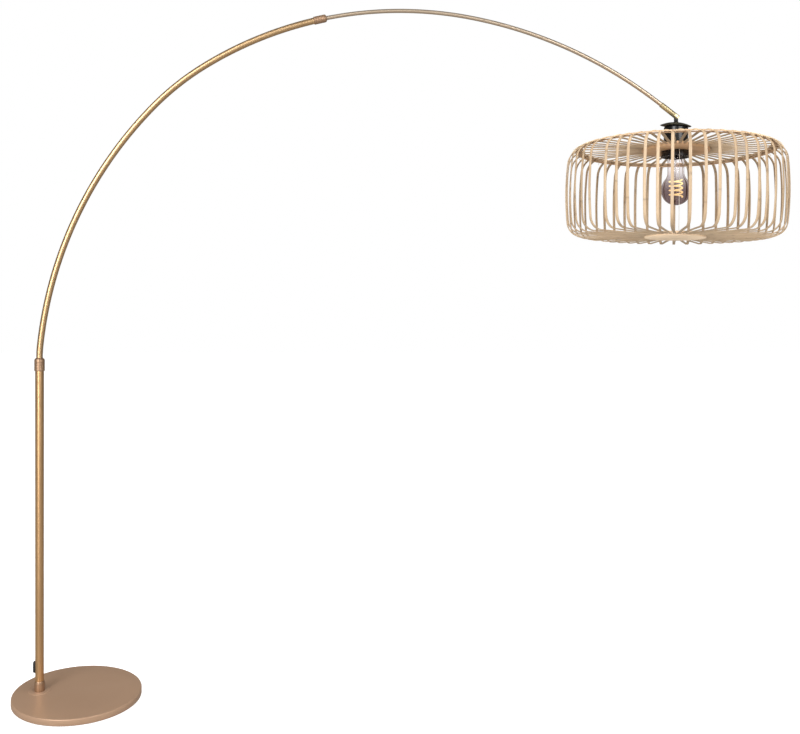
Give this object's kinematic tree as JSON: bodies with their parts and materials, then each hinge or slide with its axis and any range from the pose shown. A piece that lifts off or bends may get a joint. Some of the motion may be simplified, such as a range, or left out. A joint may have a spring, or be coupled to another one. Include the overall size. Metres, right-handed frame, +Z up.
{
  "type": "arc floor lamp",
  "caption": "Arc floor lamp: round weighted base, pole, telescoping curved arm and a hanging drum shade of bent bamboo strips between two wooden hubs.",
  "frame": {"origin": "centre of the base's underside, on the floor", "axes": "+Z up, +X from the pole towards the shade, in the plane of the arm"},
  "size_m": [1.8198, 0.4994, 1.6386],
  "materials": {
    "base_bronze": "satin lacquered bronze",
    "tube_bronze": "satin lacquered bronze",
    "collar_bronze": "satin bronze, turned",
    "tip_brass": "satin pale brass",
    "black_metal": "satin black",
    "zinc_steel": "plain zinc",
    "nylon": "natural",
    "black_rubber": "matt black",
    "socket_plastic": "black",
    "brass": "plain",
    "cap_aluminium": "plain",
    "smoked_glass": "clear neck, smoke grey lower half",
    "clear_glass": "clear",
    "filament_amber": "amber phosphor",
    "bamboo": "clear matt lacquer",
    "hub_wood": "clear matt lacquer",
    "flex_sheath": "black sheath"
  },
  "bodies": {
    "stand": {"base_disc": "base_bronze", "base_pad": "black_rubber", "foot_plate": "base_bronze", "foot_collar": "collar_bronze", "foot_bolt": "zinc_steel", "foot_washer": "zinc_steel", "pole_insert": "zinc_steel", "pole": "tube_bronze", "cord_outlet": "black_rubber", "pole_ferrule": "zinc_steel", "pole_collet": "nylon", "flex_pole": "flex_sheath"},
    "pole_lock": {"pole_collar": "collar_bronze"},
    "tail_guide": {"tail_bush": "nylon"},
    "lower_arm": {"lower_arc": "tube_bronze", "arc_ferrule": "zinc_steel", "arc_collet": "nylon", "flex_arm": "flex_sheath"},
    "arc_lock": {"arc_collar": "collar_bronze"},
    "upper_arm": {"upper_arc": "tip_brass", "arm_bush": "nylon", "end_sleeve": "collar_bronze", "swivel_screw": "zinc_steel", "swivel_nut": "zinc_steel", "flex_reach": "flex_sheath"},
    "shade": {"swivel_link": "black_metal", "cap_disc": "black_metal", "cap_nut": "black_metal", "stem_nut": "zinc_steel", "holder_shell": "black_metal", "socket_body": "socket_plastic", "socket_shell": "brass", "contact_spring": "brass", "shade_ring": "black_metal", "top_hub": "hub_wood", "bottom_hub": "hub_wood", "cage_strips": "bamboo", "rim_hoop": "black_metal", "bulb_cap": "cap_aluminium", "bulb_insulator": "socket_plastic", "bulb_contact": "brass", "bulb_glass": "smoked_glass", "bulb_stem": "clear_glass", "bulb_filament": "filament_amber", "bulb_leads": "zinc_steel"}
  },
  "joints": [
    {"name": "arm_height", "type": "slide", "parent": "stand", "child": "tail_guide", "axis": [0, 0, 1], "range_m": [0, 0.35]},
    {"name": "arm_turn", "type": "hinge", "parent": "tail_guide", "child": "lower_arm", "pos_m": [-0.09, 0, 0.811], "axis": [0, 0, 1], "range_deg": [-50, 50]},
    {"name": "arc_reach", "type": "hinge", "parent": "lower_arm", "child": "upper_arm", "pos_m": [0.76688, 0, 0.74464], "axis": [0, 1, 0], "range_deg": [-10, 5]},
    {"name": "shade_tilt", "type": "hinge", "parent": "upper_arm", "child": "shade", "pos_m": [1.42458, 0, 1.38292], "axis": [0, 1, 0], "range_deg": [-35, 35]},
    {"name": "pole_lock_turn", "type": "hinge", "parent": "stand", "child": "pole_lock", "pos_m": [-0.09, 0, 0.791], "axis": [0, 0, 1], "range_deg": [0, 120]},
    {"name": "arc_lock_turn", "type": "hinge", "parent": "lower_arm", "child": "arc_lock", "pos_m": [0.57743, 0, 1.61352], "axis": [0.977, 0, 0.213], "range_deg": [0, 120]}
  ]
}
